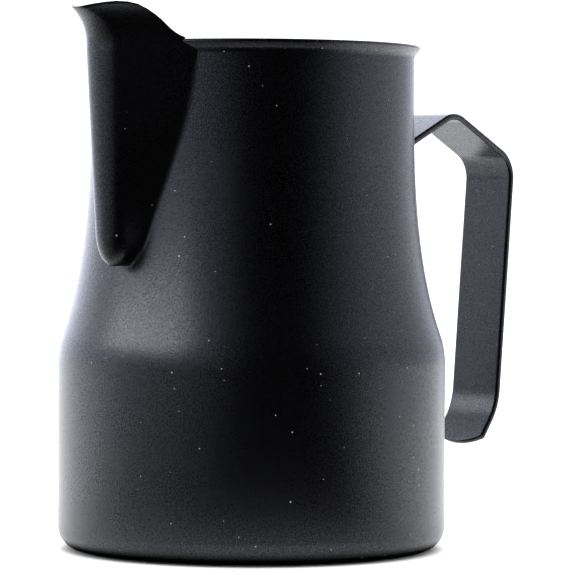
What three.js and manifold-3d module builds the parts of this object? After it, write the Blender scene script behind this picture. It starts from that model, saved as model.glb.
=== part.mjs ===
// Milk frothing pitcher of the 50 cl class: a drawn steel jug with a flared rim, a pressed V spout
// welded into an opening in its wall, and a flat strap handle welded on at its upper end only.
// Millimetres, +Z up. The origin is the centre of the base, on the axis of the jug.
// The handle points along +X and the spout along -X, so XZ is the plane of symmetry.
import * as THREE from "three";
import { mergeVertices } from "three/addons/utils/BufferGeometryUtils.js";
import Module from "manifold-3d";

const wasm = await Module();
wasm.setup();

// Sheet and joints
const SHEET = 1;
const GAP = 0.3;
const BEAD = 0.9;
const BEAD_SIDES = 8;
const BEAD_STEPS = 18;
const BEAD_SECTIONS = 64;
const BEAD_CLEARANCE = 0.55;

// Jug wall, from the base up
const BODY_RADIUS = 45;
const BASE_CORNER = 5.2;
const SHOULDER_Z = 45.2;
const SHOULDER_RADIUS = 8;
const SHOULDER_ANGLE = THREE.MathUtils.degToRad(20.3);
const SHOULDER_PULL = 16.6;
const NECK_RADIUS = 37.5;
const NECK_Z = 104;
const NECK_PULL = 21;
const LIP_Z = 113.5;
const LIP_BEND = 2.2;
const LIP_ANGLE = THREE.MathUtils.degToRad(38);
const LIP_LENGTH = 1.3;
const ROUND_STEPS = 84;
const CORNER_STEPS = 6;
const SHOULDER_STEPS = 3;
const NECK_STEPS = 11;
const LIP_STEPS = 4;

// Spout: two flanks and a round nose between them, in every level section
const SPOUT_FOOT_Z = 66;
const SPOUT_FOOT_ROUND = 3;
const SPOUT_STRAIGHT_Z = 114;
const SPOUT_TIP_Z = 123.4;
const SPOUT_TOP_Z = 128;
const SPOUT_BACK = 24;
const NOSE_CENTRE = 42.1;
const NOSE_FOOT_RADIUS = 4.4;
const NOSE_TOP_RADIUS = 7;
const TIP_RADIUS = 2.6;
const TIP_REACH = 54.8;
const FLARE_LIMIT = 1.45;
const FLANK_TOP_ANGLE = 48.5;
const FLANK_FOOT_ANGLE = 90;
const NOSE_STEPS = 12;
const FOOT_LEVELS = 5;
const FLANK_LEVELS = 16;
const FLARE_LEVELS = 8;
const FLARE_OVERRUN = 1.2;

// Handle strap, as the outer face of its side view
const STRAP_WIDTH = 15.2;
const STRAP_THICKNESS = 1.5;
const STRAP_ROOT = new THREE.Vector2(36, 90.6);
const STRAP_CREST = new THREE.Vector2(61.8, 103.2);
const STRAP_ELBOW = new THREE.Vector2(83.7, 91.3);
const STRAP_KNEE = new THREE.Vector2(78.3, 30);
const STRAP_END = new THREE.Vector2(71.7, 20.6);
const CREST_RADIUS = 7;
const ELBOW_RADIUS = 8;
const KNEE_RADIUS = 16;
const TONGUE_RADIUS = 15;
const EDGE_BEVEL = 0.25;

// Solids ------------------------------------------------------------------------------------

function toManifold(geometry) {
  const bare = geometry.index ? geometry.toNonIndexed() : geometry.clone();
  bare.deleteAttribute("normal");
  bare.deleteAttribute("uv");
  const merged = mergeVertices(bare, 1e-4);
  const mesh = new wasm.Mesh({
    numProp: 3,
    vertProperties: new Float32Array(merged.attributes.position.array),
    triVerts: new Uint32Array(merged.index.array),
  });
  return new wasm.Manifold(mesh);
}

function toGeometry(manifold) {
  const mesh = manifold.getMesh();
  const geometry = new THREE.BufferGeometry();
  geometry.setAttribute("position", new THREE.BufferAttribute(mesh.vertProperties, 3));
  geometry.setIndex(new THREE.BufferAttribute(mesh.triVerts, 1));
  geometry.computeVertexNormals();
  return geometry;
}

function revolve(profile) {
  const geometry = new THREE.LatheGeometry(profile, ROUND_STEPS);
  geometry.rotateX(Math.PI / 2);
  return toManifold(geometry);
}

// Joins rings of equal length, each counter-clockwise seen from above, into a closed solid.
function loft(rings) {
  const size = rings[0].length;
  const points = rings.flat();
  const faces = [];
  for (let level = 0; level < rings.length - 1; level++) {
    for (let i = 0; i < size; i++) {
      const next = (i + 1) % size;
      const low = level * size;
      const high = low + size;
      faces.push(low + i, low + next, high + next, low + i, high + next, high + i);
    }
  }
  const top = (rings.length - 1) * size;
  for (let i = 1; i < size - 1; i++) {
    faces.push(0, i + 1, i, top, top + i, top + i + 1);
  }
  const geometry = new THREE.BufferGeometry().setFromPoints(points);
  geometry.setIndex(faces);
  return toManifold(geometry);
}

// Jug ---------------------------------------------------------------------------------------

// The wall's side view, from the base's centre to the end of the lip, moved inwards by inset.
function wallCurves(inset) {
  const base = BODY_RADIUS - BASE_CORNER;
  const corner = BASE_CORNER - inset;
  const hub = BODY_RADIUS - SHOULDER_RADIUS;
  const bend = SHOULDER_RADIUS - inset;
  const leaning = new THREE.Vector2(Math.cos(SHOULDER_ANGLE), Math.sin(SHOULDER_ANGLE));
  const rising = new THREE.Vector2(-leaning.y, leaning.x);
  const shoulder = new THREE.Vector2(hub, SHOULDER_Z).addScaledVector(leaning, bend);
  const neck = NECK_RADIUS - inset;
  const lip = NECK_RADIUS + LIP_BEND;
  const flare = LIP_BEND + inset;
  return [
    [new THREE.EllipseCurve(base, BASE_CORNER, corner, corner, -Math.PI / 2, 0), CORNER_STEPS],
    [new THREE.EllipseCurve(hub, SHOULDER_Z, bend, bend, 0, SHOULDER_ANGLE), SHOULDER_STEPS],
    [
      new THREE.CubicBezierCurve(
        shoulder,
        shoulder.clone().addScaledVector(rising, SHOULDER_PULL),
        new THREE.Vector2(neck, NECK_Z - NECK_PULL),
        new THREE.Vector2(neck, NECK_Z),
      ),
      NECK_STEPS,
    ],
    [new THREE.EllipseCurve(lip, LIP_Z, flare, flare, Math.PI, Math.PI - LIP_ANGLE, true), LIP_STEPS],
  ];
}

function wallPoints(inset) {
  const points = wallCurves(inset).flatMap(([curve, steps]) => curve.getPoints(steps));
  const along = new THREE.Vector2(Math.sin(LIP_ANGLE), Math.cos(LIP_ANGLE));
  points.push(points.at(-1).clone().addScaledVector(along, LIP_LENGTH));
  return points;
}

// The wall's outer radius at a height.
function wallRadius(z) {
  const side = wallPoints(0);
  const i = Math.max(1, side.findIndex((point) => point.y >= z));
  const low = side[i - 1];
  const high = side[i];
  return THREE.MathUtils.mapLinear(z, low.y, high.y, low.x, high.x);
}

// Everything within the wall's outline, up to a flat top at the given height.
function fillOfWall(inset, floor, top) {
  const side = wallPoints(inset);
  const rim = side.at(-1);
  return revolve([
    new THREE.Vector2(0, floor),
    ...side,
    new THREE.Vector2(rim.x, top),
    new THREE.Vector2(0, top),
  ]);
}

function vessel() {
  const outer = wallPoints(0);
  const inner = wallPoints(SHEET).reverse();
  const rim = outer.at(-1).clone().add(inner[0]).multiplyScalar(0.5);
  const edge = new THREE.EllipseCurve(rim.x, rim.y, SHEET / 2, SHEET / 2, -LIP_ANGLE, Math.PI - LIP_ANGLE);
  const round = edge.getPoints(LIP_STEPS).slice(1, -1);
  return revolve([new THREE.Vector2(0, 0), ...outer, ...round, ...inner, new THREE.Vector2(0, SHEET)]);
}

// Spout -------------------------------------------------------------------------------------

// How far the pouring lip has curled at a height: 0 on the straight part and 1 at the tip.
function curl(z) {
  const rise = Math.max(0, (z - SPOUT_STRAIGHT_Z) / (SPOUT_TIP_Z - SPOUT_STRAIGHT_Z));
  return Math.min(rise ** 3, FLARE_LIMIT);
}

// One level section of the spout, closed behind inside the jug.
function spoutRing(z, inset) {
  const depth = Math.max(0, (SPOUT_STRAIGHT_Z - z) / (SPOUT_STRAIGHT_Z - SPOUT_FOOT_Z));
  const degrees = FLANK_TOP_ANGLE + (FLANK_FOOT_ANGLE - FLANK_TOP_ANGLE) * Math.min(1, depth) ** 3;
  const flank = THREE.MathUtils.degToRad(degrees);
  const straight = THREE.MathUtils.lerp(NOSE_TOP_RADIUS, NOSE_FOOT_RADIUS, Math.min(1, depth));
  const whole = straight + (TIP_RADIUS - NOSE_TOP_RADIUS) * curl(z);
  const reach = NOSE_CENTRE + straight + (TIP_REACH - NOSE_CENTRE - NOSE_TOP_RADIUS) * curl(z);
  const nose = Math.max(whole - inset, GAP);
  const support = (reach - whole) * Math.cos(flank) + whole - inset;
  const centre = inset + nose > whole ? (support - nose) / Math.cos(flank) : reach - whole;
  const ring = [];
  for (let i = 0; i <= NOSE_STEPS; i++) {
    const angle = THREE.MathUtils.lerp(flank, -flank, i / NOSE_STEPS);
    ring.push(new THREE.Vector3(-centre - nose * Math.cos(angle), nose * Math.sin(angle), z));
  }
  const wide = (support - SPOUT_BACK * Math.cos(flank)) / Math.sin(flank);
  const meeting = flankAtRadius(ring[0], flank, wallRadius(Math.min(z, LIP_Z)) - Math.min(inset, SHEET));
  ring.push(new THREE.Vector3(meeting.x, -meeting.y, z));
  ring.push(new THREE.Vector3(-SPOUT_BACK, -wide, z));
  ring.push(new THREE.Vector3(-SPOUT_BACK, wide, z));
  ring.push(meeting);
  return ring;
}

// Where a flank, followed back from its end at the nose, comes within a radius of the axis, or nearest it.
function flankAtRadius(end, flank, radius) {
  const back = new THREE.Vector3(Math.sin(flank), Math.cos(flank), 0);
  const fall = end.x * back.x + end.y * back.y;
  const spare = fall ** 2 + radius ** 2 - end.x ** 2 - end.y ** 2;
  return end.clone().addScaledVector(back, -fall - Math.sqrt(Math.max(spare, 0)));
}

function spoutFill(inset) {
  const foot = SPOUT_FOOT_Z + inset;
  const round = SPOUT_FOOT_ROUND - inset;
  const rings = [];
  for (let i = 0; i < FOOT_LEVELS; i++) {
    const turn = (i / FOOT_LEVELS) * (Math.PI / 2);
    rings.push(spoutRing(foot + round * (1 - Math.cos(turn)), inset + round * (1 - Math.sin(turn))));
  }
  const start = foot + round;
  for (let i = 0; i < FLANK_LEVELS; i++) {
    rings.push(spoutRing(THREE.MathUtils.lerp(start, SPOUT_STRAIGHT_Z, i / FLANK_LEVELS), inset));
  }
  for (let i = 0; i <= FLARE_LEVELS; i++) {
    const rise = Math.sqrt(i / FLARE_LEVELS);
    rings.push(spoutRing(THREE.MathUtils.lerp(SPOUT_STRAIGHT_Z, SPOUT_TIP_Z + FLARE_OVERRUN, rise), inset));
  }
  rings.push(spoutRing(SPOUT_TOP_Z, inset));
  return loft(rings);
}

// What the mouth's edge curve, drawn in side view, takes off the top of the spout.
function aboveMouth() {
  const edge = new THREE.SplineCurve([
    new THREE.Vector2(-62, 121),
    new THREE.Vector2(-54.8, 123.4),
    new THREE.Vector2(-51.4, 124.4),
    new THREE.Vector2(-48, 124.8),
    new THREE.Vector2(-44.7, 124),
    new THREE.Vector2(-40.6, 121.5),
    new THREE.Vector2(-37.2, 118.2),
    new THREE.Vector2(-35.2, 117),
    new THREE.Vector2(-32, 116.8),
    new THREE.Vector2(-20, 116.8),
  ]);
  const shape = new THREE.Shape(edge.getPoints(40));
  shape.lineTo(-20, 140);
  shape.lineTo(-62, 140);
  const geometry = new THREE.ExtrudeGeometry(shape, { depth: 80, bevelEnabled: false });
  geometry.rotateX(Math.PI / 2);
  geometry.translate(0, 40, 0);
  return toManifold(geometry);
}

function spout() {
  const sheet = spoutFill(0).subtract(spoutFill(SHEET));
  const jugInside = fillOfWall(SHEET, SHEET, SPOUT_TOP_Z + 2);
  return sheet.subtract(jugInside).subtract(aboveMouth());
}

// Handle ------------------------------------------------------------------------------------

// A polyline with each inner corner rounded by an arc of its own radius.
function roundedLine(corners, radii) {
  const points = [corners[0]];
  for (let i = 1; i < corners.length - 1; i++) {
    const back = corners[i - 1].clone().sub(corners[i]).normalize();
    const on = corners[i + 1].clone().sub(corners[i]).normalize();
    const half = back.angleTo(on) / 2;
    const radius = radii[i - 1];
    const bisector = back.clone().add(on).normalize();
    const centre = corners[i].clone().addScaledVector(bisector, radius / Math.sin(half));
    const first = corners[i].clone().addScaledVector(back, radius / Math.tan(half)).sub(centre);
    const turn = 2 * half - Math.PI;
    for (let step = 0; step <= 6; step++) {
      points.push(first.clone().rotateAround(new THREE.Vector2(), (turn * step) / 6).add(centre));
    }
  }
  points.push(corners.at(-1));
  return points;
}

// Moves every corner of a polyline to its right-hand side by the same distance.
function parallel(corners, distance) {
  const normals = corners.slice(1).map((corner, i) => {
    const along = corner.clone().sub(corners[i]).normalize();
    return new THREE.Vector2(along.y, -along.x);
  });
  return corners.map((corner, i) => {
    const before = normals[Math.max(i - 1, 0)];
    const after = normals[Math.min(i, normals.length - 1)];
    const mitre = before.clone().add(after).normalize();
    return corner.clone().addScaledVector(mitre, distance / mitre.dot(after));
  });
}

function strapBar(grow) {
  const line = [STRAP_ROOT, STRAP_CREST, STRAP_ELBOW, STRAP_KNEE, STRAP_END];
  const radii = [CREST_RADIUS, ELBOW_RADIUS, KNEE_RADIUS];
  const outer = roundedLine(parallel(line, -grow), radii.map((radius) => radius + grow));
  const inside = STRAP_THICKNESS + grow;
  const inner = roundedLine(parallel(line, inside), radii.map((radius) => radius - inside));
  const shape = new THREE.Shape([...outer, ...inner.reverse()]);
  const geometry = new THREE.ExtrudeGeometry(shape, {
    depth: STRAP_WIDTH + 2 * grow - 2 * EDGE_BEVEL,
    bevelThickness: EDGE_BEVEL,
    bevelSize: EDGE_BEVEL,
    bevelOffset: -EDGE_BEVEL,
    bevelSegments: 1,
  });
  geometry.rotateX(Math.PI / 2);
  geometry.translate(0, STRAP_WIDTH / 2 + grow - EDGE_BEVEL, 0);
  return toManifold(geometry);
}

// Takes the strap's square end off to leave a tongue with an arched edge and sharp corners.
function tongueCutter() {
  const half = STRAP_WIDTH;
  const shape = new THREE.Shape();
  const open = Math.asin((STRAP_WIDTH / 2 + 1) / TONGUE_RADIUS);
  shape.moveTo(-half, -6);
  shape.lineTo(half, -6);
  shape.lineTo(half, TONGUE_RADIUS * (1 - Math.cos(open)));
  shape.absarc(0, TONGUE_RADIUS, TONGUE_RADIUS, -Math.PI / 2 + open, -Math.PI / 2 - open, true);
  shape.lineTo(-half, TONGUE_RADIUS * (1 - Math.cos(open)));
  const geometry = new THREE.ExtrudeGeometry(shape, { depth: 12, bevelEnabled: false, curveSegments: 8 });
  geometry.translate(0, 0, -6);
  const along = STRAP_KNEE.clone().sub(STRAP_END).normalize();
  const across = new THREE.Vector3(0, 1, 0);
  const up = new THREE.Vector3(along.x, 0, along.y);
  const frame = new THREE.Matrix4().makeBasis(across, up, across.clone().cross(up));
  frame.setPosition(STRAP_END.x, 0, STRAP_END.y);
  geometry.applyMatrix4(frame);
  return toManifold(geometry);
}

function handleStrap(jugOutside) {
  return strapBar(0).subtract(tongueCutter()).subtract(jugOutside);
}

// Welds -------------------------------------------------------------------------------------

// Where the spout's outside, grown by an offset, meets the wall's, grown by the same, at a height.
function creasePoint(z, offset) {
  const radius = wallRadius(z) + offset;
  const ring = spoutRing(z, SPOUT_FOOT_ROUND - footReach(z, offset));
  const side = [...ring.slice(0, NOSE_STEPS / 2 + 1).reverse(), ring.at(-2)];
  for (let i = 1; i < side.length; i++) {
    const run = side[i].clone().sub(side[i - 1]);
    const out = new THREE.Vector3(side[i - 1].x, side[i - 1].y, 0);
    const fall = out.dot(run) / run.lengthSq();
    const inner = fall ** 2 - (out.lengthSq() - radius ** 2) / run.lengthSq();
    const share = -fall - Math.sqrt(Math.max(inner, 0));
    if (inner > 0 && share <= 1) return side[i - 1].clone().addScaledVector(run, share);
  }
  throw new Error("the spout doesn't reach the wall at " + z);
}

// How far the spout's section has grown at a height, from nothing at the foot to its full size.
function footReach(z, offset) {
  const round = SPOUT_FOOT_ROUND + offset;
  const rise = Math.min(z - SPOUT_FOOT_Z + offset, round);
  return Math.sqrt(round ** 2 - (round - rise) ** 2);
}

// A round bead laid along the corner between the spout and the wall, down one side and up the other.
function spoutBead() {
  const offset = BEAD_CLEARANCE + BEAD / 2;
  const foot = SPOUT_FOOT_Z - offset;
  const side = [];
  for (let i = 1; i <= BEAD_STEPS; i++) {
    side.push(creasePoint(THREE.MathUtils.lerp(foot, LIP_Z - BEAD, (i / BEAD_STEPS) ** 1.6), offset));
  }
  const bottom = new THREE.Vector3(-wallRadius(foot) - offset, 0, foot);
  const otherSide = side.map((point) => new THREE.Vector3(point.x, -point.y, point.z));
  const path = new THREE.CatmullRomCurve3([...side.reverse(), bottom, ...otherSide]);
  const section = new THREE.Shape();
  for (let i = 0; i < BEAD_SIDES; i++) {
    const angle = (i / BEAD_SIDES) * 2 * Math.PI;
    const corner = new THREE.Vector2(BEAD / 2, 0).rotateAround(new THREE.Vector2(), angle);
    if (i === 0) section.moveTo(corner.x, corner.y);
    else section.lineTo(corner.x, corner.y);
  }
  const sweep = { steps: BEAD_SECTIONS, extrudePath: path, bevelEnabled: false };
  return toManifold(new THREE.ExtrudeGeometry(section, sweep));
}

// A bead in the corner between the neck and the root of the strap, all round the strap.
function handleBead() {
  const collar = strapBar(BEAD + GAP).subtract(strapBar(GAP));
  const skin = fillOfWall(-BEAD - GAP, -BEAD, LIP_Z - 1).subtract(fillOfWall(-GAP, -2 * BEAD, LIP_Z));
  return collar.intersect(skin);
}

// Scene -------------------------------------------------------------------------------------

function coatedSteel(colour, roughness) {
  return new THREE.MeshStandardMaterial({ color: colour, roughness, metalness: 0.35 });
}

function addPiece(group, name, manifold, material) {
  const mesh = new THREE.Mesh(toGeometry(manifold), material);
  mesh.name = name;
  group.add(mesh);
}

function buildPitcher() {
  const wallCoat = coatedSteel(0x2a2b2f, 0.5);
  const strapCoat = coatedSteel(0x303237, 0.45);
  const weldCoat = coatedSteel(0x26272a, 0.6);
  const pitcher = new THREE.Group();
  const jug = vessel().subtract(spoutFill(-GAP));
  const jugOutside = fillOfWall(-GAP, -GAP, LIP_Z);
  addPiece(pitcher, "jug_body", jug, wallCoat);
  addPiece(pitcher, "spout", spout(), wallCoat);
  addPiece(pitcher, "spout_weld", spoutBead(), weldCoat);
  addPiece(pitcher, "handle_strap", handleStrap(jugOutside), strapCoat);
  addPiece(pitcher, "handle_weld", handleBead(), weldCoat);
  return pitcher;
}

export default buildPitcher();
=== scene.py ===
"""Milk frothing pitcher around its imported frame: the jug's wall, the pouring spout, the handle
strap and their two welds as smooth finished pieces, a fine black coating for them, and a white
studio.

Metres, +Z up. The origin is the centre of the base. The handle points along +X and the spout
along -X.
"""

import math

import bmesh
import bpy
from bpy.props import FloatProperty, FloatVectorProperty, PointerProperty
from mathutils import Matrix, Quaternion, Vector


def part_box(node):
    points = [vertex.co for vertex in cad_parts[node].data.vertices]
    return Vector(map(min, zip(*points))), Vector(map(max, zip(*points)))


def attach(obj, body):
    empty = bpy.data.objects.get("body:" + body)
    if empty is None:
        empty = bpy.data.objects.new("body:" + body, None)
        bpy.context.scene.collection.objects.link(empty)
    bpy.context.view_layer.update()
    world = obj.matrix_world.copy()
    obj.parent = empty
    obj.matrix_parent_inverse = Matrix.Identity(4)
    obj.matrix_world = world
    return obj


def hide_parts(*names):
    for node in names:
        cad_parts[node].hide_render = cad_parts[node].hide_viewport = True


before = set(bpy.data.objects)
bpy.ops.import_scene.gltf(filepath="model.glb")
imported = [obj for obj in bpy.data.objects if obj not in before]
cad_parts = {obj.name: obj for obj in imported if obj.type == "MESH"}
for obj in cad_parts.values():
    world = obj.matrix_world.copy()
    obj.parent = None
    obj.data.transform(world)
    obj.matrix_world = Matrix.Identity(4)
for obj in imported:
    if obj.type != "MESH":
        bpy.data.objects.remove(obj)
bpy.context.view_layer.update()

bl_info = {
    "name": "Milk Frothing Pitcher",
    "version": (1, 0, 0),
    "blender": (4, 5, 0),
    "location": "View3D > Sidebar > Pitcher",
    "description": "Builds a coated steel milk pitcher and its studio around the packed frame",
    "category": "Add Mesh",
}

MM = 0.001
JUG_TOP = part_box("jug_body")[1]
STRAP_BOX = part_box("handle_strap")
UP = Vector((0, 0, 1))

# How finely the pieces are drawn
ROUND_STEPS = 192
CORNER_STEPS = 12
SHOULDER_STEPS = 16
NECK_STEPS = 44
LIP_STEPS = 8
NOSE_COLUMNS = 28
FLANK_COLUMNS = 14
FOOT_ROWS = 10
FLANK_ROWS = 34
MOUTH_ROWS = 30
EDGE_STEPS = 6
OPENING_ROWS = 50
OPENING_NOSE_STEPS = 12
SEAM_ROWS = 60
FILLET_STEPS = 8
STRAP_COLUMNS = 16
STRAP_BEND_STEPS = 14
STRAP_EDGE_STEPS = 5
ROOT_STEPS = 12
ROOT_CORNER_STEPS = 5

# How near two vertices are when they count as one, and when they are merged
SAME_PLACE = 0.01 * MM
DOUBLES = 0.002 * MM

# The spout: how far its curl goes on past the tip, the least radius of a moved-in nose, where the
# mouth's edge is looked for, and how far below the curl its finer rows start
CURL_LIMIT = 1.45
LEAST_NOSE = 0.25 * MM
MOUTH_SEARCH = (110 * MM, 128 * MM)
MOUTH_HALVINGS = 26
MOUTH_STRETCH = 2 * MM
MOUTH_PROBE = 0.2 * MM

# The cutter of the spout's opening: its share of the sheet's thickness, and how far it reaches
OPENING_SHARE = 0.97
OPENING_BACK = 20 * MM
OPENING_WING = 9 * MM
OPENING_RISE = 3 * MM

# A weld: how far its edges run out, how thin they end, how deep it goes, and how far it tapers off
WELD_RUN_OUT = 0.2 * MM
WELD_FILM = 0.004 * MM
WELD_DEPTH = 0.3 * MM
WELD_FOOT_TAPER = 10 * MM
WELD_LIP_TAPER = 4 * MM
SHARPEST_CORNER = 0.05
FLATTEST_CORNER = math.pi - 0.3
ROOT_DEPTH = 0.62 * MM

# The coating: the fine noise's range for flecks and for flakes, how fine its clouds are, and how
# strong its grain is on the sheet and on the strap
FLECK_RANGE = (0.42, 0.66)
FLAKE_RANGE = (0.46, 0.72)
CLOUD_SCALE = 45.0
SHEET_GRAIN = 0.5
STRAP_GRAIN = 0.3

# The mouth's edge in side view, from in front of the tip back to the rim, as (x, z)
MOUTH_EDGE = [
    (-62.0, 121.0), (-54.8, 123.4), (-51.4, 124.4), (-48.0, 124.78), (-44.7, 124.0),
    (-40.6, 121.5), (-37.2, 118.2), (-35.2, 117.0), (-32.0, 116.68), (-20.0, 116.66),
]

# The light screen round the pitcher, as (bearing from the camera's own in degrees, brightness)
SCREEN_LEVELS = [
    (-180, 2.8), (-150, 2.4), (-120, 1.6), (-100, 1.6), (-85, 1.3), (-68, 0.9), (-28, 0.75),
    (-8, 0.0), (38, 0.0), (60, 0.45), (82, 1.15), (110, 1.1), (140, 1.1), (160, 1.7), (179.9, 2.8),
]
SCREEN_TINT = (0.92, 0.95, 1.08)
SCREEN_RADIUS = 1.3
SCREEN_HEIGHT = 1.4

# How far the dark in front of the pitcher covers the floor's reflection, as (bearing, share)
APRON_COVER = [(-180, 0), (-100, 0), (-70, 0.6), (-20, 1), (50, 1), (85, 0), (179.9, 0)]
APRON_RADII = (0.064, 0.10)
# Radii of the black disc under the base: painted contact shade for the coating's reflections
BASE_SHADE_RADII = (0.0465, 0.043)


# Sizes and looks ---------------------------------------------------------------------------

def length(name, description, default):
    """A length that a user can change."""
    return FloatProperty(
        name=name, description=description, default=default, min=0, precision=5, unit="LENGTH"
    )


def turn(name, description, degrees):
    """An angle that a user can change, given here in degrees."""
    return FloatProperty(
        name=name, description=description, default=math.radians(degrees), unit="ROTATION"
    )


def share(name, description, default):
    """A share from 0 to 1 that a user can change."""
    return FloatProperty(
        name=name, description=description, default=default, min=0, max=1, subtype="FACTOR"
    )


def place(name, description, x, z):
    """A point in the handle's side view, given here in millimetres."""
    return FloatVectorProperty(
        name=name, description=description, size=2, default=(x * MM, z * MM), unit="LENGTH"
    )


def colour(name, description, red, green, blue):
    """A colour that a user can change."""
    return FloatVectorProperty(
        name=name,
        description=description,
        size=3,
        default=(red, green, blue),
        min=0,
        max=1,
        subtype="COLOR",
    )


class WallSizes(bpy.types.PropertyGroup):
    """The jug's wall, from the base up."""

    sheet: length("Sheet", "Thickness of the steel of jug and spout", 1 * MM)
    body_radius: length("Body Radius", "Radius of the straight body", JUG_TOP.x)
    corner: length("Base Corner", "Radius between base and body", 5.2 * MM)
    shoulder_height: length("Shoulder Height", "Where the body starts to lean in", 43.2 * MM)
    shoulder_bend: length("Shoulder Bend", "Radius of the bend at the shoulder", 20 * MM)
    shoulder_lean: turn("Shoulder Lean", "How far the wall leans in above the shoulder", 19.3)
    shoulder_pull: length("Shoulder Pull", "How long the wall keeps its lean", 16.6 * MM)
    neck_radius: length("Neck Radius", "Radius of the straight neck", 37.5 * MM)
    neck_height: length("Neck Height", "Where the neck becomes straight", 104 * MM)
    neck_pull: length("Neck Pull", "How long the wall nears the neck's radius", 19.6 * MM)
    lip_height: length("Lip Height", "Where the lip starts to flare", 113.5 * MM)
    lip_bend: length("Lip Bend", "Radius of the lip's flare", 2.2 * MM)
    lip_flare: turn("Lip Flare", "How far the lip turns out", 38)
    lip_length: length("Lip Length", "Straight end of the lip", 1.3 * MM)


class SpoutSizes(bpy.types.PropertyGroup):
    """The pouring spout: two flanks and a round nose between them, in every level section."""

    foot_height: length("Foot Height", "Lowest point of the spout", 66 * MM)
    foot_round: length("Foot Rounding", "How far the foot's edge is rounded in", 3.4 * MM)
    foot_rise: length("Foot Rise", "How high the foot's rounded edge reaches", 7 * MM)
    straight_height: length("Straight Height", "Where the nose starts to curl out", 114 * MM)
    tip_height: length("Tip Height", "Height of the pouring tip", 123.4 * MM)
    nose_centre: length("Nose Centre", "Distance of the nose's centre from the axis", 42.1 * MM)
    nose_foot_radius: length("Nose Foot Radius", "Radius of the nose at the foot", 4.4 * MM)
    nose_top_radius: length("Nose Top Radius", "Radius of the nose below the tip", 7 * MM)
    tip_radius: length("Tip Radius", "Radius of the nose at the tip", 2.6 * MM)
    tip_reach: length("Tip Reach", "Distance of the tip from the axis", 54.8 * MM)
    flank_top: turn("Flank Top Angle", "Half angle between the flanks' normals at the top", 48.5)
    flank_foot: turn("Flank Foot Angle", "Half angle between the flanks' normals at the foot", 90)
    edge_round: length("Edge Rounding", "Rounding of the mouth's edge", 0.4 * MM)
    seam_leg: length("Seam Leg", "How far the dressed weld runs out on each side", 1.0 * MM)


class StrapSizes(bpy.types.PropertyGroup):
    """The handle strap, by the outer face of its side view."""

    width: length("Width", "Width of the strap", STRAP_BOX[1].y - STRAP_BOX[0].y)
    thickness: length("Thickness", "Thickness of the strap", 1.5 * MM)
    root: place("Root", "Where the outer face meets the neck", 36, 90.6)
    crest: place("Crest", "Highest corner", 61.8, 103.2)
    elbow: place("Elbow", "Outermost corner", 83.66, 91.3)
    knee: place("Knee", "Lower corner", 78.3, 30)
    end: place("End", "Tip of the free tongue", 71.7, 20.6)
    crest_bend: length("Crest Bend", "Outer radius at the crest", 7 * MM)
    elbow_bend: length("Elbow Bend", "Outer radius at the elbow", 8 * MM)
    knee_bend: length("Knee Bend", "Outer radius at the knee", 16 * MM)
    tongue_round: length("Tongue Rounding", "Radius of the tongue's arched end", 15 * MM)
    edge_round: length("Edge Rounding", "Rounding of the strap's edges", 0.6 * MM)
    weld_leg: length("Weld Leg", "How far the root's weld runs out", 0.9 * MM)


class CoatingLooks(bpy.types.PropertyGroup):
    """The baked black coating."""

    ground: colour("Ground", "Colour of the coating", 0.0002, 0.0002, 0.0003)
    fleck: colour("Fleck", "Colour of its fine flecks", 0.0012, 0.0012, 0.0015)
    sheen: colour("Sheen", "Colour of its reflections", 0.86, 0.89, 1.0)
    # The few bright specks are painted glints: the coating's sparkle put into its colour
    painted_glint: colour("Spark", "Colour of the few bright specks", 0.24, 0.24, 0.26)
    gloss: share("Roughness", "Roughness of the coating", 0.28)
    grain: length("Grain Size", "Size of the fine flecks", 0.3 * MM)
    cell: length("Speck Spacing", "Spacing of the bright specks", 2.9 * MM)


class StudioSizes(bpy.types.PropertyGroup):
    """The white studio."""

    tent: FloatProperty(
        name="Tent Brightness", description="Brightness of the white tent", default=1.5, min=0
    )
    floor: colour("Floor", "Colour of the floor", 0.86, 0.86, 0.86)
    lens: FloatProperty(
        name="Lens", description="Focal length in millimetres", default=206.9, min=1
    )
    bearing: turn("Bearing", "Camera's bearing round the pitcher from -Y", -44)
    distance: length("Distance", "Camera's distance from the axis", 0.7696)
    height: length("Height", "Camera's height", 0.0799)
    pitch: turn("Pitch", "How far the camera looks down", 1.433)
    yaw: turn("Yaw", "How far the camera looks past the axis", 0.613)
    roll: turn("Roll", "How far the camera leans", 0.251)


# Modelling ---------------------------------------------------------------------------------

def deselect_all():
    """Leaves edit mode and selects nothing."""
    if bpy.context.mode != "OBJECT":
        bpy.ops.object.mode_set(mode="OBJECT")
    bpy.ops.object.select_all(action="DESELECT")


def edit(piece):
    """Enters edit mode on one piece with everything in it selected."""
    deselect_all()
    piece.select_set(True)
    bpy.context.view_layer.objects.active = piece
    bpy.ops.object.mode_set(mode="EDIT")
    bpy.ops.mesh.select_all(action="SELECT")


def started(name):
    """Names the primitive that was just added and brings its object to the origin."""
    piece = bpy.context.object
    piece.name = piece.data.name = name
    bpy.ops.object.transform_apply(location=True, rotation=True, scale=True)
    return piece


def draw_chain(name, points):
    """Draws a chain of edges through points, by extruding one vertex from each to the next."""
    deselect_all()
    bpy.ops.mesh.primitive_plane_add(size=MM, location=points[0])
    piece = started(name)
    edit(piece)
    bpy.ops.mesh.select_mode(type="VERT")
    bpy.ops.mesh.merge(type="CENTER")
    for here, there in zip(points, points[1:]):
        bpy.ops.mesh.extrude_vertices_move(TRANSFORM_OT_translate={"value": there - here})
    return piece


def bend_grid(name, rows):
    """A flat grid brought to rows of points, for a sheet that bends both ways."""
    deselect_all()
    bpy.ops.mesh.primitive_grid_add(
        x_subdivisions=len(rows[0]) - 1, y_subdivisions=len(rows) - 1, size=MM
    )
    piece = started(name)
    points = [point for row in rows for point in row]
    vertices = piece.data.vertices
    if len(points) != len(vertices):
        raise RuntimeError(f"{name}: {len(vertices)} vertices for {len(points)} points")
    for vertex, point in zip(vertices, points):
        vertex.co = point
    return piece


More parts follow.
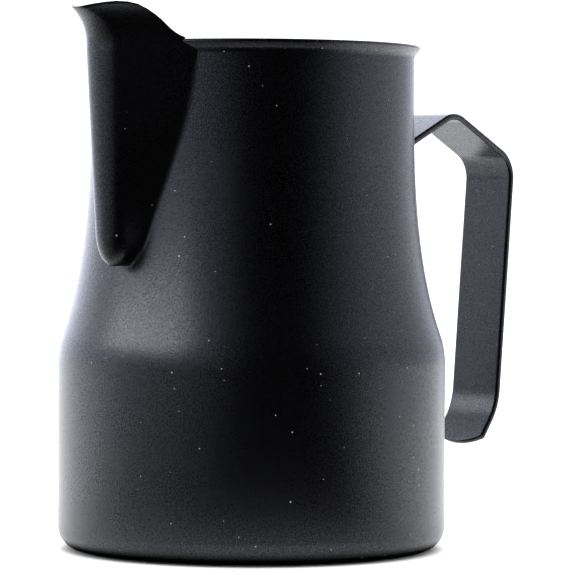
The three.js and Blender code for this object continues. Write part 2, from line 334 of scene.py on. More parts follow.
def close_seams(piece, fill=False):
    """Merges a piece's doubles, fills its open ends if asked, and turns its faces outwards."""
    edit(piece)
    bpy.ops.mesh.remove_doubles(threshold=DOUBLES)
    if fill:
        bpy.ops.mesh.select_all(action="DESELECT")
        bpy.ops.mesh.select_mode(type="EDGE")
        bpy.ops.mesh.select_non_manifold(
            use_wire=False, use_multi_face=False, use_non_contiguous=False, use_verts=False
        )
        bpy.ops.mesh.fill_holes(sides=0)
    bpy.ops.mesh.select_mode(type="FACE")
    bpy.ops.mesh.select_all(action="SELECT")
    bpy.ops.mesh.normals_make_consistent(inside=False)
    bpy.ops.object.mode_set(mode="OBJECT")


def apply_modifier(piece, kind, **settings):
    """Adds a modifier with its settings to a piece and applies it."""
    deselect_all()
    piece.select_set(True)
    bpy.context.view_layer.objects.active = piece
    bpy.ops.object.modifier_add(type=kind)
    modifier = piece.modifiers[-1]
    for setting, value in settings.items():
        setattr(modifier, setting, value)
    bpy.ops.object.modifier_apply(modifier=modifier.name)


def cut_away(piece, cutter):
    """Takes a closed cutter out of a piece, and removes the cutter."""
    apply_modifier(piece, "BOOLEAN", operation="DIFFERENCE", solver="EXACT", object=cutter)
    deselect_all()
    cutter.select_set(True)
    bpy.ops.object.delete()


def finish_piece(piece, node, coating, smooth=32):
    """Shades a finished piece, coats it, and lets it stand for its CAD node."""
    deselect_all()
    piece.select_set(True)
    bpy.context.view_layer.objects.active = piece
    bpy.ops.object.shade_smooth_by_angle(angle=math.radians(smooth))
    piece.data.materials.clear()
    piece.data.materials.append(coating)
    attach(piece, "root")
    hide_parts(node)


# Shapes ------------------------------------------------------------------------------------

def arc(centre, radius, start, end, steps):
    """Points on an arc in a plane, with its angles counter-clockwise from the first axis."""
    angles = [start + (end - start) * step / steps for step in range(steps + 1)]
    return [centre + radius * Vector((math.cos(angle), math.sin(angle))) for angle in angles]


def bezier(a, b, c, d, steps):
    """Points on a cubic curve."""
    points = []
    for step in range(steps + 1):
        t = step / steps
        s = 1 - t
        points.append(s**3 * a + 3 * s * s * t * b + 3 * s * t * t * c + t**3 * d)
    return points


def wall_outline(wall, inset):
    """The wall's side as (radius, height), from the flat base to the lip, moved in by inset."""
    bend = wall.shoulder_bend - inset
    lean = wall.shoulder_lean
    leaning = Vector((math.cos(lean), math.sin(lean)))
    rising = Vector((-leaning.y, leaning.x))
    hub = Vector((wall.body_radius - wall.shoulder_bend, wall.shoulder_height))
    shoulder = hub + leaning * bend
    neck = wall.neck_radius - inset
    corner = Vector((wall.body_radius - wall.corner, wall.corner))
    lip = Vector((wall.neck_radius + wall.lip_bend, wall.lip_height))
    along = Vector((math.sin(wall.lip_flare), math.cos(wall.lip_flare)))
    points = arc(corner, wall.corner - inset, -math.pi / 2, 0, CORNER_STEPS)
    points += arc(hub, bend, 0, lean, SHOULDER_STEPS)
    points += bezier(
        shoulder,
        shoulder + rising * wall.shoulder_pull,
        Vector((neck, wall.neck_height - wall.neck_pull)),
        Vector((neck, wall.neck_height)),
        NECK_STEPS,
    )[1:]
    points += arc(lip, wall.lip_bend + inset, math.pi, math.pi - wall.lip_flare, LIP_STEPS)
    points.append(points[-1] + along * wall.lip_length)
    return points


def outer_radius(wall, height):
    """The wall's outer radius at a height, and how fast it grows upwards."""
    side = wall_outline(wall, 0)
    height = min(height, side[-1].y - SAME_PLACE)
    for low, high in zip(side, side[1:]):
        if low.y <= height < high.y:
            slope = (high.x - low.x) / (high.y - low.y)
            return low.x + slope * (height - low.y), slope
    raise RuntimeError(f"the wall has no radius at {height}")


def wall_normal(point, radius, slope):
    """The wall's outward normal at a point on it, by its radius and slope there."""
    return Vector((point.x / radius, point.y / radius, -slope)).normalized()


def mouth_height(x):
    """The height of the mouth's edge over a place in side view."""
    points = [Vector(point) * MM for point in MOUTH_EDGE]
    x = min(max(x, points[1].x), points[-2].x)
    for i in range(1, len(points) - 2):
        if x <= points[i + 1].x:
            before, low, high, after = points[i - 1:i + 3]
            span = high.x - low.x
            t = (x - low.x) / span
            rise_low = span * (high.y - before.y) / (high.x - before.x)
            rise_high = span * (after.y - low.y) / (after.x - low.x)
            return (
                (2 * t**3 - 3 * t**2 + 1) * low.y + (t**3 - 2 * t**2 + t) * rise_low
                + (3 * t**2 - 2 * t**3) * high.y + (t**3 - t**2) * rise_high
            )
    return points[-2].y


def nose_at(spout, height, inset):
    """The nose's centre, its radius and the flank's angle in a level section moved in by inset."""
    depth = (spout.straight_height - height) / (spout.straight_height - spout.foot_height)
    depth = min(max(depth, 0), 1)
    rise = max(0, (height - spout.straight_height) / (spout.tip_height - spout.straight_height))
    curl = min(rise**3, CURL_LIMIT)
    flank = spout.flank_top + (spout.flank_foot - spout.flank_top) * depth**3
    straight = spout.nose_top_radius + (spout.nose_foot_radius - spout.nose_top_radius) * depth
    whole = straight + (spout.tip_radius - spout.nose_top_radius) * curl
    overhang = spout.tip_reach - spout.nose_centre - spout.nose_top_radius
    reach = spout.nose_centre + straight + overhang * curl
    centre = reach - whole
    nose = whole - inset
    if nose < LEAST_NOSE:
        centre = (centre * math.cos(flank) + nose - LEAST_NOSE) / math.cos(flank)
        nose = LEAST_NOSE
    return centre, nose, flank


def seam_at(wall, spout, height, inset=0, sunk=0):
    """Where the +Y flank meets the wall, both normals there, the flank's way back and its end."""
    centre, nose, flank = nose_at(spout, height, inset)
    radius, slope = outer_radius(wall, height)
    radius -= sunk
    back = Vector((math.sin(flank), math.cos(flank), 0))
    out = Vector((-math.cos(flank), math.sin(flank), 0))
    end = Vector((-centre, 0, height)) + out * nose
    fall = end.x * back.x + end.y * back.y
    spare = max(fall**2 + radius**2 - end.x**2 - end.y**2, 0)
    point = end + back * (-fall - math.sqrt(spare))
    return point, wall_normal(point, radius, slope), out, back, end


def spout_point(wall, spout, column, height, inset, sunk):
    """A point of the spout's sheet, column 0 at the +Y seam and the last column at the -Y seam."""
    last = 2 * FLANK_COLUMNS + NOSE_COLUMNS
    side = 1
    if column > last / 2:
        column = last - column
        side = -1
    if column < FLANK_COLUMNS:
        root, _, _, _, end = seam_at(wall, spout, height, inset, sunk)
        spot = root.lerp(end, column / FLANK_COLUMNS)
    else:
        centre, nose, flank = nose_at(spout, height, inset)
        angle = flank * (1 - 2 * (column - FLANK_COLUMNS) / NOSE_COLUMNS)
        spot = Vector((-centre - nose * math.cos(angle), nose * math.sin(angle), height))
    return Vector((spot.x, side * spot.y, height))


def mouth_level(point_at):
    """Height at which a line up the sheet reaches the mouth's edge."""
    low, high = MOUTH_SEARCH
    for _ in range(MOUTH_HALVINGS):
        height = (low + high) / 2
        if height < mouth_height(point_at(height).x):
            low = height
        else:
            high = height
    return low


def foot_levels(spout, inset):
    """(height, inset) up the foot's edge, a quarter of an ellipse, moved in by inset."""
    levels = []
    for row in range(FOOT_ROWS):
        angle = math.pi / 2 * row / FOOT_ROWS
        climb = (spout.foot_rise - inset) * (1 - math.cos(angle))
        moved_in = inset + (spout.foot_round - inset) * (1 - math.sin(angle))
        levels.append((spout.foot_height + inset + climb, moved_in))
    return levels


def sheet_side(wall, spout, inset, sunk):
    """One face of the spout's sheet in rows from its underside up, and its line at the mouth."""
    columns = range(2 * FLANK_COLUMNS + NOSE_COLUMNS + 1)
    rows = []
    for height, moved_in in foot_levels(spout, inset):
        rows.append([
            spout_point(wall, spout, column, height, moved_in, sunk) for column in columns
        ])
    underside = [Vector((max(point.x, -spout.nose_centre), 0, point.z)) for point in rows[0]]
    rows.insert(0, underside)
    start = spout.foot_height + spout.foot_rise
    end = spout.straight_height - MOUTH_STRETCH
    for row in range(FLANK_ROWS):
        height = start + (end - start) * row / FLANK_ROWS
        rows.append([spout_point(wall, spout, column, height, inset, sunk) for column in columns])
    tops = []
    crowns = []
    for column in columns:
        def point_at(height):
            return spout_point(wall, spout, column, height, inset, sunk)

        level = mouth_level(point_at)
        crown = point_at(level)
        up = (crown - point_at(level - MOUTH_PROBE)).normalized()
        tops.append(level - spout.edge_round * up.z)
        crowns.append(crown)
    for row in range(MOUTH_ROWS + 1):
        part = row / MOUTH_ROWS
        rows.append([
            spout_point(wall, spout, column, end + (top - end) * part, inset, sunk)
            for column, top in zip(columns, tops)
        ])
    return rows, crowns


def spout_rows(wall, spout):
    """The spout's closed sheet as rows: up its outside, over the mouth and down its inside."""
    outer, outer_crown = sheet_side(wall, spout, 0, 0)
    inner, inner_crown = sheet_side(wall, spout, wall.sheet, wall.sheet)
    edge = []
    for step in range(1, EDGE_STEPS):
        angle = math.pi * step / EDGE_STEPS
        row = []
        for low, high, crown, inner_high in zip(outer[-1], inner[-1], outer_crown, inner_crown):
            middle = (low + high) / 2
            bulge = (crown + inner_high) / 2 - middle
            row.append(middle + (low - middle) * math.cos(angle) + bulge * math.sin(angle))
        edge.append(row)
    middles = [[(a[end] + b[end]) / 2 for end in (0, -1)] for a, b in zip(outer, inner)]
    ends = middles + [middles[-1]] * len(edge) + middles[::-1]
    sheet = outer + edge + inner[::-1]
    return [[first.copy(), *row, last.copy()] for row, (first, last) in zip(sheet, ends)]


def opening_rows(wall, spout):
    """Closed level sections of what the spout's opening takes out of the wall."""
    inset = wall.sheet * OPENING_SHARE
    levels = foot_levels(spout, inset)
    start = spout.foot_height + spout.foot_rise
    end = spout.tip_height + OPENING_RISE
    levels += [
        (start + (end - start) * row / OPENING_ROWS, inset) for row in range(OPENING_ROWS + 1)
    ]
    rows = []
    for height, moved_in in levels:
        centre, nose, flank = nose_at(spout, height, moved_in)
        point, _, _, back, _ = seam_at(wall, spout, height, moved_in)
        behind = point + back * OPENING_WING
        row = [Vector((-OPENING_BACK, 0, height)), behind, point]
        for step in range(OPENING_NOSE_STEPS + 1):
            angle = flank * (1 - 2 * step / OPENING_NOSE_STEPS)
            row.append(Vector((-centre - nose * math.cos(angle), nose * math.sin(angle), height)))
        row += [Vector((spot.x, -spot.y, height)) for spot in (point, behind)]
        rows.append(row + [row[0].copy()])
    return rows


def onto_wall(wall, point, lift):
    """The way from a point, straight out from the axis, to a height over the wall's outside."""
    flat = Vector((point.x, point.y, 0))
    return flat.normalized() * (outer_radius(wall, point.z)[0] + lift - flat.length)


def fillet_section(wall, point, wall_out, out, leg):
    """A closed section of a dressed weld, between the wall and a piece that stands on it."""
    corner = min(max(wall_out.angle(out), SHARPEST_CORNER), FLATTEST_CORNER)
    round_radius = leg / math.tan(corner / 2)
    centre = point + (wall_out + out) / (1 + wall_out.dot(out)) * round_radius
    along_wall = (out - wall_out * wall_out.dot(out)).normalized()
    along_piece = (wall_out - out * wall_out.dot(out)).normalized()
    run_out = leg + WELD_RUN_OUT
    first = point + along_wall * run_out
    first += onto_wall(wall, first, -WELD_FILM)
    last = point + along_piece * run_out - out * WELD_FILM
    settle = onto_wall(wall, centre - wall_out * round_radius, WELD_FILM)
    section = [first]
    for step in range(FILLET_STEPS + 1):
        part = step / FILLET_STEPS
        normal = wall_out * math.sin((1 - part) * corner) + out * math.sin(part * corner)
        spot = centre - normal / math.sin(corner) * round_radius
        section.append(spot + settle * (1 - part)**2 + out * (WELD_FILM * part))
    inside = point - (wall_out + out).normalized() * WELD_DEPTH
    return section + [last, inside, first.copy()]


def seam_frames(wall, spout):
    """Points and normals along the seam: down the +Y side, under the foot and up again."""
    frames = []
    top = wall.lip_height
    bottom = spout.foot_height + spout.foot_rise
    for row in range(SEAM_ROWS):
        height = top + (bottom - top) * row / SEAM_ROWS
        point, wall_out, out, _, _ = seam_at(wall, spout, height)
        frames.append((point, wall_out, out))
    for row in range(FOOT_ROWS, -1, -1):
        angle = math.pi / 2 * row / FOOT_ROWS
        height = spout.foot_height + spout.foot_rise * (1 - math.cos(angle))
        moved_in = spout.foot_round * (1 - math.sin(angle))
        point, wall_out, out, _, _ = seam_at(wall, spout, height, moved_in)
        sideways = out * (math.sin(angle) / spout.foot_round)
        facing = sideways - UP * (math.cos(angle) / spout.foot_rise)
        frames.append((point, wall_out, facing.normalized()))
    half = frames[-1][0].y
    radius, slope = outer_radius(wall, spout.foot_height)
    for y in (half * 0.66, half * 0.33):
        point = Vector((-math.sqrt(radius**2 - y**2), y, spout.foot_height))
        frames.append((point, wall_normal(point, radius, slope), -UP))
    mirrored = [[Vector((v.x, -v.y, v.z)) for v in one] for one in frames]
    lowest = (Vector((-radius, 0, spout.foot_height)), Vector((-1, 0, 0)), -UP)
    return frames + [lowest] + mirrored[::-1]


def rounded_line(corners, radii):
    """A polyline in a plane with each inner corner rounded by its own radius."""
    points = [corners[0]]
    for before, corner, after, radius in zip(corners, corners[1:], corners[2:], radii):
        back = (before - corner).normalized()
        on = (after - corner).normalized()
        half = back.angle(on) / 2
        centre = corner + (back + on).normalized() * (radius / math.sin(half))
        first = corner + back * (radius / math.tan(half)) - centre
        swing = (math.pi - 2 * half) * (1 if first.x * on.y - first.y * on.x > 0 else -1)
        for step in range(STRAP_BEND_STEPS + 1):
            angle = swing * step / STRAP_BEND_STEPS
            turned = Vector((
                first.x * math.cos(angle) - first.y * math.sin(angle),
                first.x * math.sin(angle) + first.y * math.cos(angle),
            ))
            points.append(centre + turned)
    points.append(corners[-1])
    return points


def seam_leg(wall, spout, height):
    """How far the seam's weld runs out at a height: less round the foot, and less under the lip."""
    above_foot = min((height - spout.foot_height) / WELD_FOOT_TAPER, 1)
    under_lip = min(max((wall.lip_height - height) / WELD_LIP_TAPER, 0), 1)
    return spout.seam_leg * min(0.5 + 0.5 * above_foot, 0.3 + 0.7 * under_lip)


def root_section(strap, upper):
    """The strap's rounded section as (place across, depth under its outer face, normal)."""
    corner = strap.edge_round
    half = strap.width / 2 - corner
    deep = strap.thickness - corner
    across = [half - 2 * half * step / ROOT_STEPS for step in range(ROOT_STEPS + 1)]
    outline = [(y, 0, upper) for y in across]
    for quarter, (side, middle) in enumerate(((-1, corner), (-1, deep), (1, deep), (1, corner))):
        for step in range(1, ROOT_CORNER_STEPS):
            angle = math.pi / 2 * (quarter + step / ROOT_CORNER_STEPS)
            normal = upper * math.cos(angle) - Vector((0, math.sin(angle), 0))
            depth = middle - corner * math.cos(angle)
            outline.append((side * half + corner * normal.y, depth, normal))
        if quarter == 1:
            outline += [(-y, strap.thickness, -upper) for y in across]
    return outline


def root_frames(wall, strap):
    """Points and normals round the strap where it stands on the neck."""
    root, crest = Vector(strap.root), Vector(strap.crest)
    along = (crest - root).normalized()
    frames = []
    for y, depth, normal in root_section(strap, Vector((-along.y, 0, along.x))):
        x = wall.neck_radius
        for _ in range(6):
            height = root.y + (x - root.x) * along.y / along.x - depth / along.x
            radius, slope = outer_radius(wall, height)
            x = math.sqrt(radius**2 - y**2)
        point = Vector((x, y, height))
        frames.append((point, wall_normal(point, radius, slope), normal))
    return frames + [frames[0]]


# Materials ---------------------------------------------------------------------------------

class Wire:
    """A shader socket in an expression: each operator adds the Math node that it stands for."""

    def __init__(self, shader, socket):
        self.shader = shader
        self.socket = socket

    def __add__(self, other):
        return self.shader.math("ADD", self, other)

    __radd__ = __add__

    def __mul__(self, other):
        return self.shader.math("MULTIPLY", self, other)

    __rmul__ = __mul__

    def __sub__(self, other):
        return self.shader.math("SUBTRACT", self, other)

    def __rsub__(self, other):
        return self.shader.math("SUBTRACT", other, self)

    def __lt__(self, other):
        return self.shader.math("LESS_THAN", self, other)

    def __gt__(self, other):
        return self.shader.math("GREATER_THAN", self, other)


class Shader:
    """A material under construction."""

    def __init__(self, name):
        self.material = bpy.data.materials.new(name)
        self.material.use_nodes = True
        self.tree = self.material.node_tree
        self.tree.nodes.clear()

    def math(self, operation, first, second):
        """A Math node's result."""
        return self.node("ShaderNodeMath", {"operation": operation}, {0: first, 1: second})[0]

    def node(self, kind, settings=None, inputs=None):
        """Adds a node, sets it up, feeds its sockets, and returns its outputs."""
        return self.made(kind, settings, inputs)[1]

    def made(self, kind, settings, inputs):
        """The same, with the node itself before its outputs."""
        made = self.tree.nodes.new(kind)
        for setting, value in (settings or {}).items():
            setattr(made, setting, value)
        for socket, value in (inputs or {}).items():
            if isinstance(value, Wire):
                self.tree.links.new(value.socket, made.inputs[socket])
            else:
                made.inputs[socket].default_value = value
        return made, [Wire(self, output) for output in made.outputs]

    def mix(self, factor, first, second):
        """A colour between two colours."""
        inputs = {0: factor, 6: first, 7: second}
        return self.node("ShaderNodeMix", {"data_type": "RGBA"}, inputs)[2]

    def spread(self, value, zero_at, one_at):
        """A share that goes from 0 where a value is zero_at to 1 where it is one_at."""
        inputs = {"Value": value, "From Min": zero_at, "From Max": one_at}
        return self.node("ShaderNodeMapRange", {"clamp": True}, inputs)[0]


def coating(name, looks, bump):
    """Baked black coating: fine flecks and grain, slow clouds in its gloss, a few bright painted
    glints.
    """
    shader = Shader(name)
    places = shader.node("ShaderNodeTexCoord")[3]
    fine = shader.node(
        "ShaderNodeTexNoise",
        {},
        {"Vector": places, "Scale": 1 / looks.grain, "Detail": 2.0, "Roughness": 0.6},
    )[0]
    clouds = shader.node(
        "ShaderNodeTexNoise", {}, {"Vector": places, "Scale": CLOUD_SCALE, "Detail": 3.0}
    )[0]
    cells = shader.node("ShaderNodeTexVoronoi", {}, {"Vector": places, "Scale": 1 / looks.cell})
    lot = shader.node("ShaderNodeSeparateColor", {}, {"Color": cells[1]})
    # Painted glints: a few cells of bright colour stand in for the coating's sparkle
    glint_mask = (cells[0] < 0.026 + 0.036 * lot[1]) * (lot[0] > 0.35)
    fleck = shader.spread(fine, *FLECK_RANGE)
    tint = shader.mix(fleck, (*looks.ground, 1), (*looks.fleck, 1))
    tint = shader.mix(glint_mask, tint, (*looks.painted_glint, 1))
    flake = shader.spread(fine, *FLAKE_RANGE)
    gloss = looks.gloss + 0.10 * (clouds - 0.5) + 0.16 * (fine - 0.5)
    normal = shader.node(
        "ShaderNodeBump", {}, {"Strength": bump, "Distance": 0.1 * MM, "Height": fine}
    )[0]
    surface = shader.node(
        "ShaderNodeBsdfPrincipled",
        {},
        {
            "Base Color": tint,
            "Roughness": gloss,
            "Normal": normal,
            "Specular IOR Level": 0.33,
            "Specular Tint": (*looks.sheen, 1),
            "Coat Weight": flake,
            "Coat Roughness": 0.26,
            "Coat Tint": (*looks.sheen, 1),
        },
    )[0]
    shader.node("ShaderNodeOutputMaterial", {}, {"Surface": surface})
    return shader.material


# Pieces ------------------------------------------------------------------------------------

def in_space(point):
    """A point of the side view in the XZ plane."""
    return Vector((point.x, 0, point.y))


class PITCHER_OT_wall(bpy.types.Operator):
    """Spins the jug's wall, cuts the spout's opening into it and coats it"""

    bl_idname = "pitcher.wall"
    bl_label = "Jug Wall"

    def execute(self, context):
        scene = context.scene
        wall, spout, looks = scene.pitcher_wall, scene.pitcher_spout, scene.pitcher_coating
        outer = wall_outline(wall, 0)
        inner = wall_outline(wall, wall.sheet)[::-1]
        rim = (outer[-1] + inner[0]) / 2
        edge = arc(rim, wall.sheet / 2, -wall.lip_flare, math.pi - wall.lip_flare, LIP_STEPS)[1:-1]
        side = [Vector((0, 0)), *outer, *edge, *inner, Vector((0, wall.sheet))]
        piece = draw_chain("jug_wall", [in_space(point) for point in side])
        bpy.ops.mesh.select_all(action="SELECT")
        bpy.ops.mesh.spin(steps=ROUND_STEPS, angle=2 * math.pi, center=(0, 0, 0), axis=UP)
        close_seams(piece)
        cutter = bend_grid("opening_cutter", opening_rows(wall, spout))
        close_seams(cutter, fill=True)
        cut_away(piece, cutter)
        black = coating("wall_coating", looks, SHEET_GRAIN)
        finish_piece(piece, "jug_body", black)
        return {"FINISHED"}


class PITCHER_OT_spout(bpy.types.Operator):
    """Bends the pouring spout's closed sheet, with the mouth's rounded edge"""

    bl_idname = "pitcher.spout"
    bl_label = "Pouring Spout"

    def execute(self, context):
        scene = context.scene
        wall, spout, looks = scene.pitcher_wall, scene.pitcher_spout, scene.pitcher_coating
        piece = bend_grid("pouring_spout", spout_rows(wall, spout))
        close_seams(piece)
        black = coating("spout_coating", looks, SHEET_GRAIN)
        finish_piece(piece, "spout", black, smooth=40)
        return {"FINISHED"}


class PITCHER_OT_spout_weld(bpy.types.Operator):
    """Lays the dressed weld along the seam between spout and wall"""

    bl_idname = "pitcher.spout_weld"
    bl_label = "Spout Weld"

    def execute(self, context):
        scene = context.scene
        wall, spout, looks = scene.pitcher_wall, scene.pitcher_spout, scene.pitcher_coating
        rows = [
            fillet_section(wall, point, wall_out, out, seam_leg(wall, spout, point.z))
            for point, wall_out, out in seam_frames(wall, spout)
        ]
        piece = bend_grid("spout_seam", rows)
        close_seams(piece, fill=True)
        black = coating("seam_coating", looks, SHEET_GRAIN)
        finish_piece(piece, "spout_weld", black, smooth=50)
        return {"FINISHED"}


class PITCHER_OT_strap(bpy.types.Operator):
    """Draws the handle strap's side view, widens it, arches its tongue and rounds its edges"""

    bl_idname = "pitcher.strap"
    bl_label = "Handle Strap"

    def execute(self, context):
        scene = context.scene
        wall, strap, looks = scene.pitcher_wall, scene.pitcher_strap, scene.pitcher_coating
        places = (strap.root, strap.crest, strap.elbow, strap.knee, strap.end)
        corners = [Vector(corner) for corner in places]
        line = rounded_line(corners, (strap.crest_bend, strap.elbow_bend, strap.knee_bend))
        near_edge = Vector((0, -strap.width / 2, 0))
        piece = draw_chain("handle_band", [in_space(point) + near_edge for point in line])
        bpy.ops.mesh.select_all(action="SELECT")
        for _ in range(STRAP_COLUMNS):
            bpy.ops.mesh.extrude_region_move(
                TRANSFORM_OT_translate={"value": (0, strap.width / STRAP_COLUMNS, 0)}
            )
        self.shape_end(piece, strap.root, self.root_slide(wall, corners))
        self.shape_end(piece, strap.end, self.tongue_slide(strap, corners))
        bpy.ops.object.mode_set(mode="OBJECT")
        self.face_outwards(piece)
        apply_modifier(
            piece,
            "SOLIDIFY",
            thickness=strap.thickness,
            offset=-1,
            use_even_offset=True,
            use_quality_normals=True,
        )
        apply_modifier(
            piece,
            "BEVEL",
            width=strap.edge_round,
            segments=STRAP_EDGE_STEPS,
            limit_method="ANGLE",
            angle_limit=math.radians(50),
            use_clamp_overlap=True,
        )
        black = coating("strap_coating", looks, STRAP_GRAIN)
        finish_piece(piece, "handle_strap", black, smooth=40)
        return {"FINISHED"}

    def root_slide(self, wall, corners):
        """How far a root vertex slides up the strap to end just inside the neck's round wall."""
        along = (corners[1] - corners[0]).normalized()

        def slide(y):
            inside = math.sqrt((wall.neck_radius - ROOT_DEPTH)**2 - y**2)
            return in_space(along) * ((inside - corners[0].x) / along.x)

        return slide

    def tongue_slide(self, strap, corners):
        """How far an end vertex slides back to leave an arched tongue."""
        along = (corners[-2] - corners[-1]).normalized()

        def slide(y):
            return in_space(along) * (strap.tongue_round - math.sqrt(strap.tongue_round**2 - y**2))

        return slide

    def shape_end(self, piece, end, slide):
        """Slides each vertex of one end along the strap."""
        bpy.ops.mesh.select_mode(type="VERT")
        mesh = bmesh.from_edit_mesh(piece.data)
        places = [
            vertex.co.copy()
            for vertex in mesh.verts
            if (Vector((vertex.co.x, vertex.co.z)) - Vector(end)).length < SAME_PLACE
        ]
        for spot in places:
            bpy.ops.mesh.select_all(action="DESELECT")
            mesh = bmesh.from_edit_mesh(piece.data)
            for vertex in mesh.verts:
                if (vertex.co - spot).length < SAME_PLACE:
                    vertex.select_set(True)
            bmesh.update_edit_mesh(piece.data)
            bpy.ops.transform.translate(value=slide(spot.y))

    def face_outwards(self, piece):
        """Turns the sheet's faces away from the hand."""
        tallest = max(piece.data.polygons, key=lambda face: face.center.z)
        if tallest.normal.z < 0:
            edit(piece)
            bpy.ops.mesh.flip_normals()
            bpy.ops.object.mode_set(mode="OBJECT")


class PITCHER_OT_handle_weld(bpy.types.Operator):
    """Lays the weld round the strap's root"""

    bl_idname = "pitcher.handle_weld"
    bl_label = "Handle Weld"

    def execute(self, context):
        scene = context.scene
        wall, strap, looks = scene.pitcher_wall, scene.pitcher_strap, scene.pitcher_coating
        rows = [
            fillet_section(wall, point, wall_out, out, strap.weld_leg)
            for point, wall_out, out in root_frames(wall, strap)
        ]
        piece = bend_grid("handle_seam", rows)
        close_seams(piece)
        black = coating("root_coating", looks, SHEET_GRAIN)
        finish_piece(piece, "handle_weld", black, smooth=50)
        return {"FINISHED"}


# Studio ------------------------------------------------------------------------------------

def bearing_ramp(shader, studio, stops):
    """A level by the bearing from the camera's, from (degrees, level) stops, and its places."""
    places = shader.node(
        "ShaderNodeSeparateXYZ", {}, {"Vector": shader.node("ShaderNodeTexCoord")[3]}
    )
    around = shader.math("ARCTAN2", places[0], 0 - places[1]) - studio.bearing
    position = shader.math("FRACT", around * (0.5 / math.pi) + 0.5, 0)
    top = max(level for _, level in stops)
    ramp, outputs = shader.made("ShaderNodeValToRGB", {}, {"Fac": position})
    elements = ramp.color_ramp.elements
    for index, (bearing, level) in enumerate(stops):
        spot = bearing / 360 + 0.5
        element = elements[index] if index < 2 else elements.new(spot)
        element.position = spot
        element.color = (level / top, level / top, level / top, 1)
    return outputs[0] * top, places


def for_gloss_only(card, shader, surface):
    """Coats a studio card and hides it from everything but the coating's gloss."""
    shader.node("ShaderNodeOutputMaterial", {}, {"Surface": surface})
    card.data.materials.append(shader.material)
    card.visible_camera = card.visible_diffuse = card.visible_shadow = False


def softbox(name, size, radiance, location, target, glossy=True, diffuse=True):
    """A soft rectangular light that faces a point, as bright as its radiance."""
    lamp = bpy.data.lights.new(name, "AREA")
    lamp.shape = "RECTANGLE"
    lamp.size, lamp.size_y = size
    lamp.energy = radiance * size[0] * size[1] * math.pi
    holder = bpy.data.objects.new(name, lamp)
    bpy.context.scene.collection.objects.link(holder)
    holder.location = location
    holder.rotation_euler = (Vector(target) - Vector(location)).to_track_quat("-Z", "Y").to_euler()
    holder.visible_camera = False
    holder.visible_glossy = glossy
    holder.visible_diffuse = diffuse
    return holder


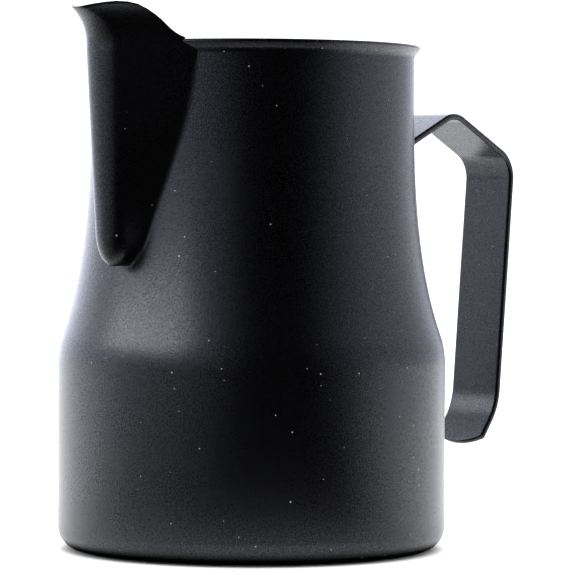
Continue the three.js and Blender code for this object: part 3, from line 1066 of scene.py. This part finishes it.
class PITCHER_OT_stage(bpy.types.Operator):
    """Sets the pale floor, the white tent, its cards, the lights and the camera"""

    bl_idname = "pitcher.stage"
    bl_label = "Studio"

    def execute(self, context):
        studio = context.scene.pitcher_studio
        self.floor(studio)
        self.tent(context.scene, studio)
        self.cards(studio)
        self.camera(context.scene, studio)
        context.scene.view_settings.view_transform = "Standard"
        return {"FINISHED"}

    def floor(self, studio):
        """A wide pale floor just under the base."""
        deselect_all()
        bpy.ops.mesh.primitive_plane_add(size=12, location=(0, 0, -0.1 * MM))
        ground = bpy.context.object
        ground.name = ground.data.name = "floor"
        shader = Shader("floor")
        surface = shader.node(
            "ShaderNodeBsdfPrincipled", {}, {"Base Color": (*studio.floor, 1), "Roughness": 0.6}
        )[0]
        shader.node("ShaderNodeOutputMaterial", {}, {"Surface": surface})
        ground.data.materials.append(shader.material)

    def tent(self, scene, studio):
        """An even white all round."""
        world = bpy.data.worlds.new("tent")
        world.use_nodes = True
        background = world.node_tree.nodes["Background"]
        background.inputs["Color"].default_value = (1, 1, 1, 1)
        background.inputs["Strength"].default_value = studio.tent
        scene.world = world

    def around(self, studio, bearing, distance, height):
        """A place at a bearing from the camera's own, clockwise seen from above."""
        angle = studio.bearing + math.radians(bearing)
        return Vector((math.sin(angle) * distance, -math.cos(angle) * distance, height))

    def cards(self, studio):
        """Screen round the pitcher, black card over it, black apron at its foot, painted contact
        shade.
        """
        deselect_all()
        bpy.ops.mesh.primitive_cylinder_add(
            vertices=96,
            radius=SCREEN_RADIUS,
            depth=SCREEN_HEIGHT,
            end_fill_type="NOTHING",
            location=(0, 0, SCREEN_HEIGHT / 2),
        )
        screen = started("screen")
        shader = Shader("screen")
        level, _ = bearing_ramp(shader, studio, SCREEN_LEVELS)
        tinted = shader.node(
            "ShaderNodeVectorMath", {"operation": "MULTIPLY"}, {0: level, 1: SCREEN_TINT}
        )[0]
        surface = shader.node("ShaderNodeEmission", {}, {"Color": tinted, "Strength": 1.0})[0]
        for_gloss_only(screen, shader, surface)

        deselect_all()
        bpy.ops.mesh.primitive_plane_add(size=3, location=(0, 0, SCREEN_HEIGHT))
        ceiling = started("ceiling_card")
        shader = Shader("ceiling_card")
        surface = shader.node("ShaderNodeEmission", {}, {"Color": (0, 0, 0, 1)})[0]
        for_gloss_only(ceiling, shader, surface)

        deselect_all()
        bpy.ops.mesh.primitive_plane_add(size=2.6, location=(0, 0, 0.3 * MM))
        apron = started("front_apron")
        shader = Shader("front_apron")
        cover, places = bearing_ramp(shader, studio, APRON_COVER)
        radius = shader.math("POWER", places[0] * places[0] + places[1] * places[1], 0.5)
        far = shader.spread(radius, *APRON_RADII)
        # A black disc under the base: painted contact shade, seen only in the coating's reflections
        under = shader.spread(radius, *BASE_SHADE_RADII)
        dark = shader.math("MAXIMUM", cover * far, under)
        black = shader.node("ShaderNodeEmission", {}, {"Color": (0, 0, 0, 1)})[0]
        clear = shader.node("ShaderNodeBsdfTransparent")[0]
        surface = shader.node("ShaderNodeMixShader", {}, {0: dark, 1: clear, 2: black})[0]
        for_gloss_only(apron, shader, surface)

        middle = (0, 0, 60 * MM)
        beside = self.around(studio, -72, 0.88, 0.56)
        softbox("floor_light", (2.0, 2.0), 3.2, (0, 0, 1.6), (0, 0, 0), glossy=False)
        softbox("key_light", (1.0, 0.5), 5.2, beside, middle, diffuse=False)

    def camera(self, scene, studio):
        """The camera at its bearing, looking a little down."""
        lens = bpy.data.cameras.new("camera")
        lens.lens = studio.lens
        lens.sensor_width = 36
        holder = bpy.data.objects.new("camera", lens)
        scene.collection.objects.link(holder)
        holder.location = self.around(studio, 0, studio.distance, studio.height)
        ahead = studio.yaw - studio.bearing
        level = math.cos(studio.pitch)
        drop = math.sin(studio.pitch)
        forward = Vector((math.sin(ahead) * level, math.cos(ahead) * level, -drop))
        holder.rotation_mode = "QUATERNION"
        holder.rotation_quaternion = forward.to_track_quat("-Z", "Y") @ Quaternion(UP, studio.roll)
        scene.camera = holder


# Add-on ------------------------------------------------------------------------------------

class PITCHER_PT_panel(bpy.types.Panel):
    """Lists the pitcher's sizes and the operators that build it"""

    bl_label = "Milk Pitcher"
    bl_idname = "PITCHER_PT_panel"
    bl_space_type = "VIEW_3D"
    bl_region_type = "UI"
    bl_category = "Pitcher"

    def draw(self, context):
        layout = self.layout
        for group in GROUPS:
            settings = getattr(context.scene, group)
            box = layout.box()
            for name in settings.__annotations__:
                box.prop(settings, name)
        for operator in OPERATORS:
            layout.operator(operator.bl_idname)


GROUPS = {
    "pitcher_wall": WallSizes,
    "pitcher_spout": SpoutSizes,
    "pitcher_strap": StrapSizes,
    "pitcher_coating": CoatingLooks,
    "pitcher_studio": StudioSizes,
}
OPERATORS = [
    PITCHER_OT_wall,
    PITCHER_OT_spout,
    PITCHER_OT_spout_weld,
    PITCHER_OT_strap,
    PITCHER_OT_handle_weld,
    PITCHER_OT_stage,
]


def register():
    for one in (*GROUPS.values(), *OPERATORS, PITCHER_PT_panel):
        bpy.utils.register_class(one)
    for name, group in GROUPS.items():
        setattr(bpy.types.Scene, name, PointerProperty(type=group))


def unregister():
    for name in GROUPS:
        delattr(bpy.types.Scene, name)
    for one in reversed((*GROUPS.values(), *OPERATORS, PITCHER_PT_panel)):
        bpy.utils.unregister_class(one)


def main():
    """Builds every piece and the studio."""
    register()
    bpy.ops.pitcher.wall()
    bpy.ops.pitcher.spout()
    bpy.ops.pitcher.spout_weld()
    bpy.ops.pitcher.strap()
    bpy.ops.pitcher.handle_weld()
    bpy.ops.pitcher.stage()


if __name__ == "__main__":
    main()
